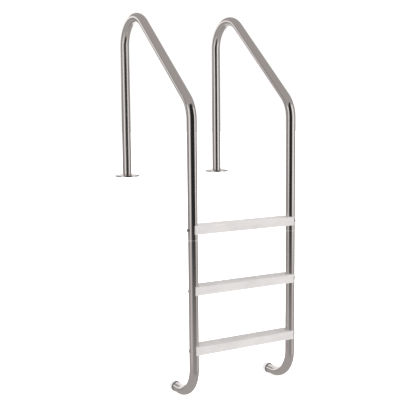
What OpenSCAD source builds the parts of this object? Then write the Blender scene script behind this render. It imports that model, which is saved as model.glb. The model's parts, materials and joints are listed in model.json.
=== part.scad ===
// In-ground pool ladder: two bent tube rails, three moulded treads, deck flanges and wall bumpers.
// The origin lies on the deck's surface, midway between the two deck legs.
// +X runs along the treads, -Y points out over the pool, +Z is up.

/* [Overall] */
// Distance between the axes of the two rails
rail_gap = 500; // [420:5:700]
// Distance from the deck legs' axes out to the front uprights' axes
deck_reach = 645; // [500:5:900]
// Height of the handrail's highest point above the deck
rail_top_h = 760; // [620:5:950]
// Depth of the hooks' lowest point below the deck
rail_depth = 927; // [890:5:1400]
// Slope of the handrail's straight stretch, in degrees from level
rail_slope = 40.5; // [30:0.5:44]

/* [Rail tube] */
// Outside diameter of the rail tube
tube_od = 42.4; // [35:0.1:52]
// Wall thickness of the rail tube
tube_wall = 1.5; // [1:0.1:2.5]
// Radius of every bend, on the tube's axis
bend_r = 128; // [90:1:150]
// Straight end of each hook, after its bend
hook_end = 36; // [20:1:80]

/* [Rail joint] */
// Depth of the joint between upper and lower rail below the deck
joint_depth = 220; // [205:1:238]
// Length of the joint sleeve inside the upper rail
sleeve_up = 66; // [40:1:90]
// Length of the joint sleeve inside the lower rail
sleeve_down = 60; // [40:1:90]
// Wall thickness of the joint sleeve
sleeve_wall = 2; // [1.5:0.1:3]
// Radial clearance of a part that slides inside the rail tube
slip_fit = 0.1; // [0.05:0.05:0.3]

/* [Deck flanges] */
// Diameter of the deck flange
flange_d = 84; // [76:1:90]
// Thickness of the deck flange
flange_t = 4; // [3:0.5:4.5]
// Length of the flange's spigot inside the deck leg
spigot_len = 30; // [15:1:60]
// Wall thickness of the flange's spigot
spigot_wall = 2.5; // [1.5:0.1:4]
// Leg length of the weld between deck leg and flange
weld_leg = 3; // [2:0.5:4]
// Number of screw holes in the flange
screw_count = 4; // [3:1:6]
// Diameter of the screw holes
screw_hole_d = 8.5; // [6:0.5:9]
// Diameter of the circle through the screw holes
screw_circle_d = 66; // [62:0.5:70]

/* [Deck covers] */
// Outside diameter of the domed cover
cover_d = 116; // [100:1:130]
// Height of the cover's dome above its rim, measured at the centre
cover_rise = 7; // [4:0.5:18]
// Height of the cover's upright rim
cover_rim = 7; // [1:0.5:10]
// Sheet thickness of the cover
cover_wall = 1.2; // [0.8:0.1:2]
// Radial clearance between cover and deck leg
cover_fit = 0.3; // [0.1:0.05:0.6]

/* [Treads] */
// Depth of the first tread's underside below the deck
tread_depth = 195; // [180:1:200]
// Distance from one tread to the next
tread_pitch = 260; // [200:1:262]
// Height of a tread
tread_h = 37; // [30:1:50]
// Reach of a tread in front of the rails' axes
tread_front = 31; // [27:1:45]
// Reach of a tread behind the rails' axes
tread_back = 45; // [35:1:80]
// Reach of the tread's lips past the rails' axes
tread_lip = 2; // [0.5:0.5:8]
// Thickness of the tread's skirt
tread_wall = 3.5; // [2.5:0.5:5]
// Thickness of the tread's top
tread_top = 4; // [3:0.5:6]
// Thickness of the tread's end wall, which the bolt clamps
tread_end = 10; // [6:1:14]
// Radius of the tread's front corners
corner_front_r = 7; // [3:1:9]
// Radius of the tread's rear corners
corner_back_r = 20; // [8:1:22]
// Radius along the tread's upper edges
edge_r = 4; // [2:0.5:6]
// Number of grip grooves along the tread's top
groove_count = 5; // [3:1:6]
// Width of a grip groove
groove_w = 3; // [2:0.5:4]
// Depth of a grip groove
groove_d = 0.8; // [0.4:0.1:1.2]
// Number of cross ribs under a tread
rib_count = 6; // [2:1:10]
// Thickness of a rib
rib_t = 2.5; // [2:0.5:4]
// Depth of the ribs below the tread's top
rib_drop = 22; // [10:1:26]

/* [Bolts] */
// Diameter of the tread bolts
bolt_d = 8; // [6:1:10]
// How far a bolt reaches past its nut
bolt_past = 6; // [1:1:12]
// Radial clearance of the bolt holes
bolt_fit = 0.3; // [0.1:0.05:0.6]
// Height of the bolts above a tread's underside
bolt_up = 17; // [15:1:20]
// Diameter of the saddle washer under the bolt's head
saddle_d = 18; // [16:1:26]
// Thickness of the saddle washer at its middle
saddle_t = 1; // [1:0.5:3]
// Diameter of the plain washer under the nut
washer_d = 16; // [14:1:20]
// Thickness of the plain washer
washer_t = 1.6; // [1:0.1:2]

/* [Bumpers] */
// How far the wall bumper stands out past the rail tube, all round
bumper_over = 1.8; // [0.5:0.1:8]
// Length of the bumper's visible head
bumper_len = 28; // [15:1:50]
// Radius of the rounding around the bumper's face
bumper_round = 9; // [4:1:12]
// Length of the bumper's stem inside the hook
bumper_stem = 30; // [15:1:34]
// How far the end ring between hook and bumper stands out past the rail tube, all round
ring_over = 2.3; // [0.5:0.1:8]
// Thickness of the end ring
ring_t = 5; // [3:0.5:8]

/* [Hidden] */
$fn = 96;
eps = 0.01;
left = -1;
right = 1;
steel = [0.74, 0.73, 0.71];
steel_dark = [0.55, 0.55, 0.54];
white_plastic = [0.90, 0.89, 0.87];
dark_rubber = [0.12, 0.12, 0.12];

// Rail: tube sizes and the places where its bends start
tube_r = tube_od / 2;
bore_r = tube_r - tube_wall;
rail_x = rail_gap / 2;
upright_y = -deck_reach;
top_bend_z = rail_top_h - tube_r - bend_r;
knee_z = top_bend_z - (deck_reach - 2 * bend_r) * tan(rail_slope);
slope_len = (deck_reach - 2 * bend_r) / cos(rail_slope);
hook_z = -rail_depth + tube_r + bend_r;
hook_tip_y = upright_y + bend_r + hook_end;
hook_axis_z = hook_z - bend_r;

// Upper rail: how far a straight stretch runs into a bend, and what the bend's wall loses on each side
lap = 0.1;
bend_thin = 0.05;

// Treads: undersides and bolts, counted from the top
tread_bottom = [for (i = [0:2]) -tread_depth - i * tread_pitch];
bolt_z = [for (z = tread_bottom) z + bolt_up];
tread_len = rail_gap + 2 * tread_lip;
cavity_x = rail_x - tube_r - tread_end;
rib_x = cavity_x - 30;
hole_d = bolt_d + 2 * bolt_fit;

// Bolt heads and nuts, in proportion to the thread
head_across = 1.625 * bolt_d;
hex_head_h = 0.5 * bolt_d;
button_d = 1.75 * bolt_d;
button_h = 0.4 * bolt_d;
socket_across = 0.625 * bolt_d;
socket_deep = 0.3 * bolt_d;
nut_h = bolt_d;
nut_hex_h = 0.75 * nut_h;
head_seat = tube_r + saddle_t;
washer_seat = -tube_r - tread_end - washer_t;
bolt_len = head_seat - washer_seat + nut_h + bolt_past;

// Bumper and end ring, over the rail tube
bumper_r = tube_r + bumper_over;
ring_r = tube_r + ring_over;

// Turns a hexagon's size across its flats into its diameter across its corners
function corners(flats) = flats / cos(30);

// Puts an outline's X and Y along the row's Y and Z, and extrudes it along X about the middle
module along_x(len) {
    rotate([90, 0, 90]) linear_extrude(len, center = true) children();
}

// A straight stretch of rail tube, from its foot upwards, which may run a little into its bends
module straight_tube(len, foot_lap = 0, head_lap = 0) {
    translate([0, 0, -foot_lap]) difference() {
        cylinder(r = tube_r, h = len + foot_lap + head_lap);
        translate([0, 0, -eps]) cylinder(r = bore_r, h = len + foot_lap + head_lap + 2 * eps);
    }
}

// A bend of the rail about a centre in the YZ plane, between two angles from +Y towards +Z
module bent_tube(centre_y, centre_z, from, to, thin = 0) {
    translate([0, centre_y, centre_z]) rotate([90, 0, 90]) rotate([0, 0, from])
        rotate_extrude(angle = to - from) translate([bend_r, 0]) difference() {
            circle(r = tube_r - thin);
            circle(r = bore_r + thin);
        }
}

// A hole for a bolt along X through the whole rail
module bolt_hole(z) {
    translate([0, upright_y, z]) rotate([0, 90, 0]) cylinder(d = hole_d, h = 2 * tube_od, center = true);
}

module upper_rail(side) {
    color(steel) translate([side * rail_x, 0, 0]) difference() {
        union() {
            translate([0, 0, flange_t]) straight_tube(top_bend_z - flange_t, head_lap = lap);
            bent_tube(-bend_r, top_bend_z, 0, 90 + rail_slope, bend_thin);
            translate([0, upright_y + bend_r, knee_z]) rotate([rail_slope, 0, 0])
                translate([0, 0, bend_r]) rotate([-90, 0, 0]) straight_tube(slope_len, lap, lap);
            bent_tube(upright_y + bend_r, knee_z, 90 + rail_slope, 180, bend_thin);
            translate([0, upright_y, -joint_depth]) straight_tube(knee_z + joint_depth, head_lap = lap);
        }
        bolt_hole(bolt_z[0]);
    }
}

module lower_rail(side) {
    color(steel) translate([side * rail_x, 0, 0]) difference() {
        union() {
            translate([0, upright_y, hook_z]) straight_tube(-joint_depth - hook_z);
            bent_tube(upright_y + bend_r, hook_z, 180, 270);
            translate([0, hook_tip_y, hook_axis_z]) rotate([90, 0, 0]) straight_tube(hook_end);
        }
        for (i = [1:2]) bolt_hole(bolt_z[i]);
    }
}

// Slides in the upper rail and is pressed into the lower one
module joint_sleeve(side) {
    color(steel_dark) translate([side * rail_x, 0, 0]) difference() {
        translate([0, upright_y, -joint_depth]) difference() {
            union() {
                cylinder(r = bore_r - slip_fit, h = sleeve_up);
                translate([0, 0, -sleeve_down]) cylinder(r = bore_r, h = sleeve_down);
            }
            translate([0, 0, -sleeve_down - eps])
                cylinder(r = bore_r - slip_fit - sleeve_wall, h = sleeve_down + sleeve_up + 2 * eps);
        }
        bolt_hole(bolt_z[0]);
    }
}

// Plate, spigot and weld bead under each deck leg
module deck_flange(side) {
    spigot_r = bore_r - slip_fit;
    color(steel_dark) translate([side * rail_x, 0, 0]) {
        difference() {
            cylinder(d = flange_d, h = flange_t);
            for (i = [0:screw_count - 1]) rotate([0, 0, 45 + i * 360 / screw_count])
                translate([screw_circle_d / 2, 0, -eps])
                    cylinder(d = screw_hole_d, h = flange_t + 2 * eps);
        }
        translate([0, 0, flange_t]) {
            difference() {
                cylinder(r = spigot_r, h = spigot_len);
                cylinder(r = spigot_r - spigot_wall, h = spigot_len + eps);
            }
            rotate_extrude()
                polygon([[tube_r, 0], [tube_r + weld_leg, 0], [tube_r, weld_leg]]);
        }
    }
}

// Domed cover that hides the flange and slides up the deck leg
module deck_cover(side) {
    cover_r = cover_d / 2;
    dome_r = (cover_r * cover_r + cover_rise * cover_rise) / (2 * cover_rise);
    dome_z = cover_rim + cover_rise - dome_r;
    hole_r = tube_r + cover_fit;
    color(steel) translate([side * rail_x, 0, 0]) rotate_extrude() difference() {
        intersection() {
            translate([hole_r, 0]) square([cover_r - hole_r, cover_rim + cover_rise]);
            translate([0, dome_z]) circle(r = dome_r, $fn = 360);
        }
        intersection() {
            translate([0, -eps]) square([cover_r - cover_wall, cover_rim + cover_rise]);
            translate([0, dome_z]) circle(r = dome_r - cover_wall, $fn = 360);
        }
    }
}

// What a square corner loses to a rounding of radius r
module corner_loss(r) {
    difference() {
        square(r + eps);
        circle(r = r);
    }
}

// A tread's outline from above, with its four rounded corners and its seats for the rails
module tread_plan() {
    half = tread_len / 2;
    difference() {
        translate([-half, -tread_front]) square([tread_len, tread_front + tread_back]);
        for (side = [left, right]) scale([side, 1]) {
            translate([half - corner_back_r, tread_back - corner_back_r]) corner_loss(corner_back_r);
            translate([half - corner_front_r, corner_front_r - tread_front]) mirror([0, 1])
                corner_loss(corner_front_r);
            translate([rail_x, 0]) circle(r = tube_r);
        }
    }
}

// A bar's outline with its two upper corners rounded
module rounded_bar(low, high, top, r) {
    difference() {
        translate([low, 0]) square([high - low, top]);
        translate([high - r, top - r]) corner_loss(r);
        translate([low + r, top - r]) mirror([1, 0]) corner_loss(r);
    }
}

// The hollow under a tread, left solid where the ribs run
module tread_hollow() {
    cavity_top = tread_h - tread_top;
    cavity_low = -tread_front + tread_wall;
    cavity_high = tread_back - tread_wall;
    difference() {
        translate([0, 0, -eps]) along_x(2 * cavity_x)
            rounded_bar(cavity_low, cavity_high, cavity_top + eps, edge_r - 1);
        translate([0, 0, cavity_top - rib_drop]) {
            translate([-rib_x, (cavity_low + cavity_high - rib_t) / 2, 0])
                cube([2 * rib_x, rib_t, rib_drop + 1]);
            for (i = [0:rib_count - 1])
                translate([-rib_x + i * (2 * rib_x - rib_t) / (rib_count - 1), cavity_low - 1, 0])
                    cube([rib_t, cavity_high - cavity_low + 2, rib_drop + 1]);
        }
    }
}

module grip_grooves() {
    flat_w = tread_front + tread_back - 2 * edge_r - 2 * groove_w;
    gap = (flat_w - groove_w) / (groove_count - 1);
    for (i = [0:groove_count - 1])
        translate([-cavity_x, -tread_front + edge_r + groove_w + i * gap, tread_h - groove_d])
            cube([2 * cavity_x, groove_w, groove_d + 1]);
}

// Tread i, counted from the top
module tread(i) {
    color(white_plastic) translate([0, upright_y, tread_bottom[i]]) difference() {
        intersection() {
            linear_extrude(tread_h) tread_plan();
            along_x(tread_len) rounded_bar(-tread_front, tread_back, tread_h, edge_r);
        }
        tread_hollow();
        grip_grooves();
        for (side = [left, right]) translate([side * rail_x, 0, bolt_up]) rotate([0, -side * 90, 0])
            cylinder(d = hole_d, h = rail_x - cavity_x + eps);
    }
}

// Places its children at both ends of tread i: +Z points out of the rail, from the rail's axis
module at_bolts(i) {
    for (side = [left, right])
        translate([side * rail_x, upright_y, bolt_z[i]]) rotate([0, side * 90, 0]) children();
}

// The bolt's plain shank, which reaches in through the tread's end wall
module shank() {
    translate([0, 0, head_seat - bolt_len]) cylinder(d = bolt_d, h = bolt_len);
}

module hex_bolt() {
    shank();
    translate([0, 0, head_seat]) cylinder(d = corners(head_across), h = hex_head_h, $fn = 6);
}

module button_bolt() {
    dome_r = (button_d * button_d / 4 + button_h * button_h) / (2 * button_h);
    shank();
    translate([0, 0, head_seat]) difference() {
        rotate_extrude() intersection() {
            square([button_d / 2, button_h]);
            translate([0, button_h - dome_r]) circle(r = dome_r);
        }
        translate([0, 0, button_h - socket_deep])
            cylinder(d = corners(socket_across), h = socket_deep + eps, $fn = 6);
    }
}

module joint_bolts() {
    color(steel) at_bolts(0) hex_bolt();
}

module tread_bolts() {
    color(steel) for (i = [1:2]) at_bolts(i) button_bolt();
}

// Flat under the bolt's head and hollow against the rail
module saddle_washers() {
    color(steel) for (i = [0:2]) at_bolts(i) difference() {
        cylinder(d = saddle_d, h = head_seat);
        rotate([0, 90, 0]) cylinder(r = tube_r, h = 2 * tube_od, center = true);
        cylinder(d = hole_d, h = head_seat + eps);
    }
}

module inner_washers() {
    color(steel) for (i = [0:2]) at_bolts(i) translate([0, 0, washer_seat]) difference() {
        cylinder(d = washer_d, h = washer_t);
        translate([0, 0, -eps]) cylinder(d = hole_d, h = washer_t + 2 * eps);
    }
}

// Lock nuts: a hexagon with a round collar on its inner side
module tread_nuts() {
    color(steel) for (i = [0:2]) at_bolts(i) translate([0, 0, washer_seat - nut_h])
        difference() {
            union() {
                cylinder(d = 0.94 * head_across, h = nut_h);
                translate([0, 0, nut_h - nut_hex_h])
                    cylinder(d = corners(head_across), h = nut_hex_h, $fn = 6);
            }
            translate([0, 0, -eps]) cylinder(d = bolt_d, h = nut_h + 2 * eps);
        }
}

// Places its children on the hook's end: +Z points out of the tube at the pool's wall
module at_hook_end(side) {
    translate([side * rail_x, hook_tip_y, hook_axis_z]) rotate([-90, 0, 0]) children();
}

module end_ring(side) {
    color(dark_rubber) at_hook_end(side) difference() {
        cylinder(r = ring_r, h = ring_t);
        translate([0, 0, -eps]) cylinder(r = bore_r, h = ring_t + 2 * eps);
    }
}

// Rounded head against the wall, and a stem pressed into the hook
module bumper(side) {
    color(white_plastic) at_hook_end(side) {
        translate([0, 0, -bumper_stem]) cylinder(r = bore_r, h = bumper_stem + ring_t + eps);
        translate([0, 0, ring_t]) rotate_extrude() difference() {
            square([bumper_r, bumper_len]);
            translate([bumper_r - bumper_round, bumper_len - bumper_round]) corner_loss(bumper_round);
        }
    }
}

upper_rail(left);  // upper_rail_left
upper_rail(right);  // upper_rail_right
lower_rail(left);  // lower_rail_left
lower_rail(right);  // lower_rail_right
joint_sleeve(left);  // joint_sleeve_left
joint_sleeve(right);  // joint_sleeve_right
deck_flange(left);  // deck_flange_left
deck_flange(right);  // deck_flange_right
deck_cover(left);  // deck_cover_left
deck_cover(right);  // deck_cover_right
tread(0);  // tread_upper
tread(1);  // tread_middle
tread(2);  // tread_lower
joint_bolts();
tread_bolts();
saddle_washers();
inner_washers();
tread_nuts();
end_ring(left);  // end_ring_left
end_ring(right);  // end_ring_right
bumper(left);  // bumper_left
bumper(right);  // bumper_right
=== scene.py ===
import json
import math

import bmesh
import bpy
from mathutils import Matrix, Vector


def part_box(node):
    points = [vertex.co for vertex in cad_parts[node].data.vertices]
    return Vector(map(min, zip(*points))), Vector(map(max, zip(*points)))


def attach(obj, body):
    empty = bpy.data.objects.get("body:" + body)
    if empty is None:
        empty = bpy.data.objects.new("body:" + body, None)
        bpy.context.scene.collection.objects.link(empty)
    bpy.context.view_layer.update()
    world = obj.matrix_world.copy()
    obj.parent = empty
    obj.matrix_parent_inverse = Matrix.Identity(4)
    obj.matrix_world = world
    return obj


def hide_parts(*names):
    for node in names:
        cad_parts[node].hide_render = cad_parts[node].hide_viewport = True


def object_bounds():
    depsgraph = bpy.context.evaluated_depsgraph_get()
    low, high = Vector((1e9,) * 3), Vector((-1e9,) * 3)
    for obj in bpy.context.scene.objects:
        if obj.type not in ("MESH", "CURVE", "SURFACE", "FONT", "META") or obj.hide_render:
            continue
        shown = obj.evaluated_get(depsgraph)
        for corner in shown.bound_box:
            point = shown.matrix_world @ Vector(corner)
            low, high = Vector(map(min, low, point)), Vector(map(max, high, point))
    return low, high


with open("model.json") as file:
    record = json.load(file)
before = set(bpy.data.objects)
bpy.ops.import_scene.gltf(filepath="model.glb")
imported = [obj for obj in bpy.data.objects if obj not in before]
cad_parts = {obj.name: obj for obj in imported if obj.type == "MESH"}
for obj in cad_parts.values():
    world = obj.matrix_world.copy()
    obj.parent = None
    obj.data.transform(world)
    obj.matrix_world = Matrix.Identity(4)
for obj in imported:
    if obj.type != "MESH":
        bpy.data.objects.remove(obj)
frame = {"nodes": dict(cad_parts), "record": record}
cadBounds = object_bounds()
print("frame loaded:", len(frame["nodes"]), "nodes")


class Flow:  # a socket of a shader tree, with arithmetic that adds Math nodes
    def __init__(self, tree, socket=None):
        self.tree = tree
        self.socket = socket

    def add(self, kind, settings, sockets, out=0):
        node = self.tree.nodes.new("ShaderNode" + kind)
        for name, value in settings.items():
            setattr(node, name, value)
        for name, value in sockets.items():
            if isinstance(value, Flow):
                self.tree.links.new(value.socket, node.inputs[name])
            else:
                node.inputs[name].default_value = value
        return Flow(self.tree, node.outputs[out] if len(node.outputs) else None)

    def maths(self, operation, *values):
        return self.add("Math", {"operation": operation}, dict(enumerate(values)))

    def __add__(self, other):
        return self.maths("ADD", self, other)

    def __sub__(self, other):
        return self.maths("SUBTRACT", self, other)

    def __mul__(self, other):
        return self.maths("MULTIPLY", self, other)

    def __truediv__(self, other):
        return self.maths("DIVIDE", self, other)

    def __pow__(self, other):
        return self.maths("POWER", self, other)

    def __radd__(self, other):
        return self.maths("ADD", other, self)

    def __rsub__(self, other):
        return self.maths("SUBTRACT", other, self)

    def __rmul__(self, other):
        return self.maths("MULTIPLY", other, self)

    def __rtruediv__(self, other):
        return self.maths("DIVIDE", other, self)

    def __rpow__(self, other):
        return self.maths("POWER", other, self)

    def __neg__(self):
        return self.maths("MULTIPLY", self, -1.0)

    def band(self, low, high):  # 0 below low, 1 above high, smooth between
        return self.add("MapRange", {"interpolation_type": "SMOOTHSTEP"},
                        {"Value": self, "From Min": low, "From Max": high})

    def mixed(self, first, second):  # blends two colours by this value
        return self.add("Mix", {"data_type": "RGBA"}, {0: self, 6: first, 7: second}, out=2)

    def ramp(self, stops):  # colours by this value, from pairs of place and colour
        coloured = self.add("ValToRGB", {}, {"Fac": self})
        elements = coloured.socket.node.color_ramp.elements
        while len(elements) < len(stops):
            elements.new(0.5)
        for element, (place, colour) in zip(elements, stops):
            element.position = place
            element.color = tint(colour)
        return coloured

    def noise(self, vector, scale, detail=3.0, rough=0.5):
        return self.add("TexNoise", {}, {"Vector": vector, "Scale": scale, "Detail": detail, "Roughness": rough})

    def mapped(self, vector, size):
        return self.add("Mapping", {}, {"Vector": vector, "Scale": size})


def tint(colour):
    return (*colour, 1.0)


def grey(value):
    return (value, value, value)


def newMaterial(name):
    material = bpy.data.materials.new(name)
    material.use_nodes = True
    tree = material.node_tree
    tree.nodes.clear()
    return material, Flow(tree)


def surface(flow, principled, height, finish):  # the bump's depth is in metres
    normal = flow.add("Bump", {}, {"Height": height, "Distance": finish["bumpDepth"],
                                   "Strength": finish["bumpStrength"]})
    shader = flow.add("BsdfPrincipled", {}, {**principled, "Normal": normal})
    flow.add("OutputMaterial", {}, {"Surface": shader})


def place(name, mesh, material):
    mesh.materials.append(material)
    piece = bpy.data.objects.new(name, mesh)
    bpy.context.scene.collection.objects.link(piece)
    return piece


railFinish = {
    "bright": (0.668, 0.64, 0.628),
    "dull": (0.607, 0.578, 0.565),
    "roughLow": 0.07,
    "roughHigh": 0.15,
    "rings": (14, 14, 900),  # polishing lines run round the tube
    "smears": (60, 60, 7),
    "clouds": 9.0,
    "ringShare": 0.15,
    "rim": (0.97, 0.95, 0.94),  # painted highlight: a pale ring of base colour at a tube's first end, in the rail joint, standing in for light caught by the end's chamfer
    "rimFull": 0.002,
    "rimGone": 0.004,
    "rimRough": 0.15,
    "bumpDepth": 0.000004,
    "bumpStrength": 0.15,
}


def steelTube(name):
    material, flow = newMaterial(name)
    spot = flow.add("Attribute", {"attribute_name": "tubeSpace"}, {}, out=1)
    rings = flow.noise(flow.mapped(spot, railFinish["rings"]), 1.0, 4.0, 0.6)
    cloud = flow.noise(spot, railFinish["clouds"], 3.0)
    smear = flow.noise(flow.mapped(spot, railFinish["smears"]), 1.0, 2.0)
    ringPart = rings * railFinish["ringShare"]
    rest = 1 - railFinish["ringShare"]
    colour = (cloud * rest + ringPart).mixed(tint(railFinish["dull"]), tint(railFinish["bright"]))
    span = railFinish["roughHigh"] - railFinish["roughLow"]
    rough = railFinish["roughLow"] + (smear * rest + ringPart) * span
    along = flow.add("SeparateXYZ", {}, {"Vector": spot}, out=2)
    # painted highlight: the base colour turns pale near the tube's first end, in place of the light its chamfer
    # catches
    rim = 1 - along.band(railFinish["rimFull"], railFinish["rimGone"])
    colour = rim.mixed(colour, tint(railFinish["rim"]))
    rough = rough + rim * railFinish["rimRough"]
    surface(flow, {"Base Color": colour, "Metallic": 1.0, "Roughness": rough}, rings, railFinish)
    return material


steelFinish = {
    "bright": (0.68, 0.655, 0.645),
    "dull": (0.59, 0.565, 0.555),
    "clouds": 40.0,
    "cloudShare": 0.7,
    "roughSpread": 0.12,
    "bumpDepth": 0.00002,
    "bumpStrength": 0.3,
}


def steelPart(name, rough, scale):  # plain stainless part with a fine satin grain
    material, flow = newMaterial(name)
    spot = flow.add("TexCoord", {}, {}, out=3)
    grain = flow.noise(spot, scale, 4.0, 0.6)
    cloud = flow.noise(spot, steelFinish["clouds"], 2.0)
    share = cloud * steelFinish["cloudShare"] + grain * (1 - steelFinish["cloudShare"])
    colour = share.mixed(tint(steelFinish["dull"]), tint(steelFinish["bright"]))
    rough = rough + (grain - 0.5) * steelFinish["roughSpread"]
    surface(flow, {"Base Color": colour, "Metallic": 1.0, "Roughness": rough}, grain, steelFinish)
    return material


treadFinish = {
    "clean": (0.465, 0.445, 0.439),
    "worn": (0.42, 0.402, 0.397),
    "grain": 1400.0,
    "streaks": (6, 60, 60),  # long lines along the tread
    "clouds": 11.0,
    "rough": 0.42,
    "roughSpread": 0.25,
    "bumpDepth": 0.00008,
    "bumpStrength": 0.35,
}


def treadPlastic(name):
    material, flow = newMaterial(name)
    spot = flow.add("TexCoord", {}, {}, out=3)
    grain = flow.noise(spot, treadFinish["grain"], 3.0, 0.6)
    streak = flow.noise(flow.mapped(spot, treadFinish["streaks"]), 1.0, 3.0)
    cloud = flow.noise(spot, treadFinish["clouds"], 3.0)
    share = ((cloud + streak) * 0.5).band(0.35, 0.7)
    colour = share.mixed(tint(treadFinish["clean"]), tint(treadFinish["worn"]))
    rough = treadFinish["rough"] + (grain - 0.5) * treadFinish["roughSpread"]
    surface(flow, {"Base Color": colour, "Roughness": rough}, grain, treadFinish)
    return material


rubberFinish = {
    "grain": 900.0,
    "clouds": 60.0,
    "roughSpread": 0.2,
    "bumpDepth": 0.00008,
    "bumpStrength": 0.4,
}


def rubber(name, pale, dark, rough):
    material, flow = newMaterial(name)
    spot = flow.add("TexCoord", {}, {}, out=3)
    grain = flow.noise(spot, rubberFinish["grain"], 3.0, 0.6)
    cloud = flow.noise(spot, rubberFinish["clouds"], 3.0)
    colour = cloud.band(0.3, 0.75).mixed(tint(pale), tint(dark))
    rough = rough + (grain - 0.5) * rubberFinish["roughSpread"]
    surface(flow, {"Base Color": colour, "Roughness": rough}, grain, rubberFinish)
    return material


tubeSteel = steelTube("polishedTube")
plainSteel = steelPart("plainSteel", 0.32, 700.0)
finishes = {
    "cover_steel": steelPart("pressedSteel", 0.16, 500.0),
    "plain_steel": plainSteel,
    "fastener_steel": steelPart("boltSteel", 0.22, 900.0),
    "tread_plastic": treadPlastic("mouldedPlastic"),
    "ring_rubber": rubber("darkRubber", (0.16, 0.155, 0.152), (0.11, 0.107, 0.105), 0.55),
    "bumper_rubber": rubber("paleRubber", (0.60, 0.595, 0.615), (0.55, 0.545, 0.565), 0.38),
    "rail_steel": plainSteel,
}
slotOf = {part["node"]: part["material_slot"] for part in frame["record"]["subparts"]}
for nodeName, nodeObject in frame["nodes"].items():
    nodeObject.data.materials.clear()
    nodeObject.data.materials.append(finishes[slotOf[nodeName]])
print("materials made")

rail = {
    "bendRadius": 0.128,
    "slope": math.radians(40.5),
    "wall": 0.0015,
    "footZ": 0.004,  # a leg stands on its flange
    "sides": 64,
    "bendStep": math.radians(3.0),
    "holeRadius": 0.0043,
    "boltUp": 0.017,  # above the tread's underside
    "holeMargin": 0.012,  # between a bolt's axis and the nearest ring
    "holeSides": 32,
    "drillLength": 0.08,
    "endBevel": 0.0013,
    "sharpAngle": math.radians(30),
    "mergeDistance": 0.000001,
}


class Tube:  # one wall of a tube, which grows ring by ring in the plane of its bends
    def __init__(self, bm, start, radius, direction):
        self.bm = bm
        self.layer = bm.verts.layers.float_vector["tubeSpace"]
        turn = Vector((0, 0, 1)).rotation_difference(Vector(direction))
        made = bmesh.ops.create_circle(bm, cap_ends=False, segments=rail["sides"], radius=radius)
        for vert in made["verts"]:
            vert[self.layer] = (vert.co.x, vert.co.y, 0)
        bmesh.ops.rotate(bm, verts=made["verts"], matrix=turn.to_matrix())
        bmesh.ops.translate(bm, verts=made["verts"], vec=start)
        self.ring = self.edgesOf(made["verts"])
        self.first = self.ring
        self.direction = Vector(direction)
        self.centre = Vector(start)
        self.along = 0.0

    def edgesOf(self, verts):
        return list({edge for vert in verts for edge in vert.link_edges if all(v in verts for v in edge.verts)})

    def moveOn(self, made, step):
        self.along += step
        self.ring = [item for item in made if isinstance(item, bmesh.types.BMEdge)]
        for vert in {vert for edge in self.ring for vert in edge.verts}:
            around = vert[self.layer]
            vert[self.layer] = (around[0], around[1], self.along)

    def straight(self, length):
        made = bmesh.ops.extrude_edge_only(self.bm, edges=self.ring)["geom"]
        verts = [item for item in made if isinstance(item, bmesh.types.BMVert)]
        bmesh.ops.translate(self.bm, verts=verts, vec=self.direction * length)
        self.centre += self.direction * length
        self.moveOn(made, length)

    def bend(self, angle):  # about +X: a positive angle turns +Y towards +Z
        side = 1 if angle > 0 else -1
        hub = self.centre + Matrix.Rotation(side * math.pi / 2, 3, "X") @ self.direction * rail["bendRadius"]
        steps = max(2, round(abs(angle) / rail["bendStep"]))
        turn = Matrix.Rotation(angle / steps, 3, "X")
        for _ in range(steps):
            verts = list({vert for edge in self.ring for vert in edge.verts})
            made = bmesh.ops.spin(self.bm, geom=verts + self.ring, cent=hub, axis=(1, 0, 0),
                                  angle=angle / steps, steps=1, use_duplicate=False)["geom_last"]
            self.direction = turn @ self.direction
            self.centre = hub + turn @ (self.centre - hub)
            self.moveOn(made, abs(angle) / steps * rail["bendRadius"])


def finishMesh(bm, name, material):
    bmesh.ops.remove_doubles(bm, verts=bm.verts, dist=rail["mergeDistance"])
    bmesh.ops.recalc_face_normals(bm, faces=bm.faces)
    mesh = bpy.data.meshes.new(name)
    bm.to_mesh(mesh)
    bm.free()
    mesh.shade_smooth()
    mesh.set_sharp_from_angle(angle=rail["sharpAngle"])
    return place(name, mesh, material)


def cutHoles(piece, centres):  # drills the bolt holes along X
    bm = bmesh.new()
    for centre in centres:
        made = bmesh.ops.create_cone(bm, cap_ends=True, segments=rail["holeSides"], radius1=rail["holeRadius"],
                                     radius2=rail["holeRadius"], depth=rail["drillLength"])
        bmesh.ops.rotate(bm, verts=made["verts"], matrix=Matrix.Rotation(math.pi / 2, 3, "Y"))
        bmesh.ops.translate(bm, verts=made["verts"], vec=centre)
    drill = finishMesh(bm, "drill", piece.data.materials[0])
    cut = piece.modifiers.new("holes", "BOOLEAN")
    cut.operation = "DIFFERENCE"
    cut.solver = "EXACT"
    cut.object = drill
    cutMesh = bpy.data.meshes.new_from_object(piece.evaluated_get(bpy.context.evaluated_depsgraph_get()))
    piece.modifiers.clear()
    old = piece.data
    piece.data = cutMesh
    bpy.data.meshes.remove(old)
    cutMesh.name = piece.name
    cutMesh.set_sharp_from_angle(angle=rail["sharpAngle"])
    bpy.data.objects.remove(drill)


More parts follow.
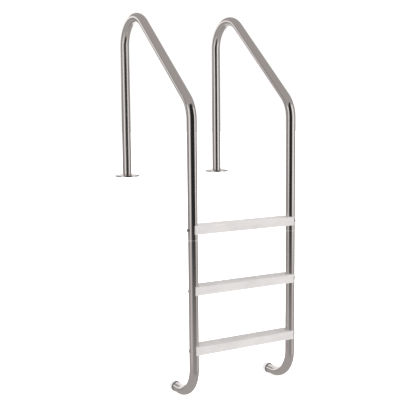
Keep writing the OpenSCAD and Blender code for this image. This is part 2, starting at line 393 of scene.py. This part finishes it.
def tubePiece(name, nodeName, start, direction, moves, holes):
    bm = bmesh.new()
    bm.verts.layers.float_vector.new("tubeSpace")
    low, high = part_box(nodeName)
    outerRadius = (high.x - low.x) / 2
    walls = [Tube(bm, start, radius, direction) for radius in (outerRadius, outerRadius - rail["wall"])]
    for kind, size in moves:
        for wall in walls:
            getattr(wall, kind)(size)
    layer = walls[0].layer
    bore = [face for face in bm.faces if Vector(face.verts[0][layer]).xy.length < outerRadius - rail["wall"] / 2]
    bmesh.ops.reverse_faces(bm, faces=bore)
    for ends in ([wall.first for wall in walls], [wall.ring for wall in walls]):
        bmesh.ops.bridge_loops(bm, edges=ends[0] + ends[1])
    bmesh.ops.bevel(bm, geom=walls[0].first + walls[0].ring, offset=rail["endBevel"], segments=1, profile=0.5,
                    affect="EDGES", material=-1)
    piece = finishMesh(bm, name, tubeSteel)
    cutHoles(piece, holes)
    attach(piece, "ladder")
    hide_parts(nodeName)


def treadBolt(nodeName, x, y):  # where a tread's bolt crosses the rail's axis
    return Vector((x, y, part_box(nodeName)[0].z + rail["boltUp"]))


def stretches(fromZ, toZ, bolts):  # a straight run, with a ring on either side of each hole
    cuts = sorted([fromZ, toZ] + [bolt.z + side * rail["holeMargin"] for bolt in bolts for side in (-1, 1)])
    if toZ < fromZ:
        cuts.reverse()
    return [("straight", abs(b - a)) for a, b in zip(cuts, cuts[1:])]


bend = rail["bendRadius"]
slope = rail["slope"]
for side in ("left", "right"):
    upperNode, lowerNode = "upper_rail_" + side, "lower_rail_" + side
    low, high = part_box(upperNode)
    lowerLow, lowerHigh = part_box(lowerNode)
    railX = (low.x + high.x) / 2
    tubeRadius = (high.x - low.x) / 2
    legY, uprightY = high.y - tubeRadius, low.y + tubeRadius
    topZ = high.z - tubeRadius - bend
    reach = legY - uprightY - 2 * bend
    kneeZ = topZ - reach * math.tan(slope)
    upperBolt = treadBolt("tread_upper", railX, uprightY)
    upperMoves = [("straight", topZ - rail["footZ"]), ("bend", math.pi / 2 + slope),
                  ("straight", reach / math.cos(slope)), ("bend", math.pi / 2 - slope)]
    tubePiece("railUpper" + side.title(), upperNode, Vector((railX, legY, rail["footZ"])), (0, 0, 1),
              upperMoves + stretches(kneeZ, low.z, [upperBolt]), [upperBolt])
    lowerBolts = [treadBolt(node, railX, uprightY) for node in ("tread_middle", "tread_lower")]
    hookZ = lowerLow.z + tubeRadius + bend
    hookMoves = [("bend", math.pi / 2), ("straight", lowerHigh.y - uprightY - bend)]
    tubePiece("railLower" + side.title(), lowerNode, Vector((railX, uprightY, lowerHigh.z)), (0, 0, -1),
              stretches(lowerHigh.z, hookZ, lowerBolts) + hookMoves, lowerBolts)
print("rails made")

floorShape = {"below": 0.004, "radius": 30.0, "sides": 96, "colour": grey(0.85), "lift": 0.75}
bm = bmesh.new()
bmesh.ops.create_circle(bm, cap_ends=True, segments=floorShape["sides"], radius=floorShape["radius"])
bmesh.ops.translate(bm, verts=bm.verts, vec=(0, 0, cadBounds[0].z - floorShape["below"]))
floorMesh = bpy.data.meshes.new("floor")
bm.to_mesh(floorMesh)
bm.free()
floorMaterial, flow = newMaterial("paleFloor")
matt = flow.add("BsdfDiffuse", {}, {"Color": tint(floorShape["colour"])})
lift = flow.add("Emission", {}, {"Color": tint(grey(1.0)), "Strength": floorShape["lift"]})
flow.add("OutputMaterial", {}, {"Surface": flow.add("AddShader", {}, {0: matt, 1: lift})})
floor = place("floor", floorMesh, floorMaterial)
floor.visible_glossy = False
print("floor made")

cards = {
    "frontFlag": {"start": (-1.2, -1.41), "end": (0.28, -1.41), "low": -1.35, "high": 1.3},
    "leftBox": {"start": (-2.75, -1.8), "end": (-2.75, -0.2), "low": -1.6, "high": 1.6},
    "rightBox": {"start": (0.5, -2.15), "end": (2.0, -1.65), "low": -1.6, "high": 1.6},
    "backGlow": {"start": (-0.3, 2.0), "end": (1.6, 2.0), "low": -1.3, "high": 1.15},
}
glows = {  # how bright a card is: its lowest and highest height that count, and the colours between
    "flagGrey": {"low": -1.05, "high": 0.3, "stops": [
        (0.0, (0.40, 0.385, 0.38)), (0.25, (0.24, 0.23, 0.225)), (0.42, grey(0.10)), (0.6, grey(0.035)),
        (1.0, grey(0.03))]},
    "boxGlow": {"low": -0.95, "high": -0.15, "stops": [
        (0.0, (0.73, 0.695, 0.68)), (0.3, (0.76, 0.725, 0.71)), (0.55, (0.92, 0.89, 0.875)),
        (1.0, (1.14, 1.12, 1.11))]},
    "backWhite": {"low": -1.3, "high": 1.15, "stops": [
        (0.0, (1.15, 1.13, 1.12)), (1.0, (1.15, 1.13, 1.12))]},
}


def glow(name):  # light that changes with height
    material, flow = newMaterial(name)
    spot = flow.add("TexCoord", {}, {}, out=3)
    height = flow.add("SeparateXYZ", {}, {"Vector": spot}, out=2)
    share = flow.add("MapRange", {}, {"Value": height, "From Min": glows[name]["low"],
                                      "From Max": glows[name]["high"]})
    shader = flow.add("Emission", {}, {"Color": share.ramp(glows[name]["stops"])})
    flow.add("OutputMaterial", {}, {"Surface": shader})
    material.cycles.emission_sampling = "NONE"
    return material


def card(name, material):  # an upright card that only reflections show
    shape = cards[name]
    start, end = Vector((*shape["start"], shape["low"])), Vector((*shape["end"], shape["high"]))
    run = end - start
    bm = bmesh.new()
    bmesh.ops.create_grid(bm, x_segments=1, y_segments=1, size=0.5)
    bmesh.ops.scale(bm, vec=(run.xy.length, run.z, 1), verts=bm.verts)
    turn = Matrix.Rotation(math.atan2(run.y, run.x), 4, "Z") @ Matrix.Rotation(math.pi / 2, 4, "X")
    bmesh.ops.transform(bm, matrix=Matrix.Translation((start + end) / 2) @ turn, verts=bm.verts)
    mesh = bpy.data.meshes.new(name)
    bm.to_mesh(mesh)
    bm.free()
    piece = place(name, mesh, material)
    piece.visible_camera = False
    piece.visible_diffuse = False
    piece.visible_shadow = False
    piece.visible_transmission = False
    piece.visible_volume_scatter = False


card("frontFlag", glow("flagGrey"))
boxGlow = glow("boxGlow")
card("leftBox", boxGlow)
card("rightBox", boxGlow)
card("backGlow", glow("backWhite"))
print("cards made")

studio = {
    "shown": grey(1.05),
    "dim": grey(0.46),  # daylight from below and the sides
    "bright": grey(1.60),  # daylight from above
    "walls": (0.38, 0.365, 0.36),
    "ceiling": (0.50, 0.475, 0.466),
    "behind": (1.2, 1.18, 1.17),
    "ground": (0.52, 0.497, 0.488),
}
world = bpy.data.worlds.new("studio")
bpy.context.scene.world = world
world.use_nodes = True
world.cycles.sampling_method = "NONE"
world.node_tree.nodes.clear()
flow = Flow(world.node_tree)
cameraRay = flow.add("LightPath", {}, {}, out=0)
glossyRay = flow.add("LightPath", {}, {}, out=3)
direction = flow.add("TexCoord", {}, {}, out=0)
y = flow.add("SeparateXYZ", {}, {"Vector": direction}, out=1)
z = flow.add("SeparateXYZ", {}, {"Vector": direction}, out=2)
upper = z.band(0.25, 0.55).mixed(tint(studio["walls"]), tint(studio["ceiling"]))
behind = y.band(0.68, 0.80) * z.band(-0.03, 0.07) * (1 - z.band(0.25, 0.38))
sky = behind.mixed(upper, tint(studio["behind"]))
seen = (-z).band(0.12, 0.32).mixed(sky, tint(studio["ground"]))
daylight = z.band(-0.2, 0.9).mixed(tint(studio["dim"]), tint(studio["bright"]))
lit = glossyRay.mixed(daylight, seen)
shown = cameraRay.mixed(lit, tint(studio["shown"]))
flow.add("OutputWorld", {}, {"Surface": flow.add("Background", {}, {"Color": shown, "Strength": 1.0})})
print("world made")

overhead = {"place": Vector((0.5, -1.0, 4.0)), "target": Vector((0, -0.4, 0)), "size": 3.0, "power": 130}
light = bpy.data.lights.new("overhead", "AREA")
light.shape = "SQUARE"
light.size = overhead["size"]
light.energy = overhead["power"]
lamp = bpy.data.objects.new("overhead", light)
lamp.location = overhead["place"]
lamp.rotation_euler = (overhead["target"] - overhead["place"]).to_track_quat("-Z", "Y").to_euler()
lamp.visible_glossy = False
lamp.visible_camera = False
bpy.context.scene.collection.objects.link(lamp)
print("light made")

camera = {
    "place": (-1.950, -3.709, 0.3655),
    "yaw": math.radians(30.077),
    "pitch": math.radians(7.334),
    "roll": math.radians(-0.486),
    "lens": 73.19,
    "sensor": 36.0,
}
lensData = bpy.data.cameras.new("camera")
lensData.sensor_width = camera["sensor"]
lensData.lens = camera["lens"]
viewer = bpy.data.objects.new("camera", lensData)
viewer.matrix_world = (Matrix.Translation(camera["place"]) @ Matrix.Rotation(-camera["yaw"], 4, "Z")
                       @ Matrix.Rotation(math.pi / 2 - camera["pitch"], 4, "X")
                       @ Matrix.Rotation(camera["roll"], 4, "Z"))
bpy.context.scene.collection.objects.link(viewer)
bpy.context.scene.camera = viewer
bpy.context.scene.view_settings.view_transform = "Standard"
print("camera made")
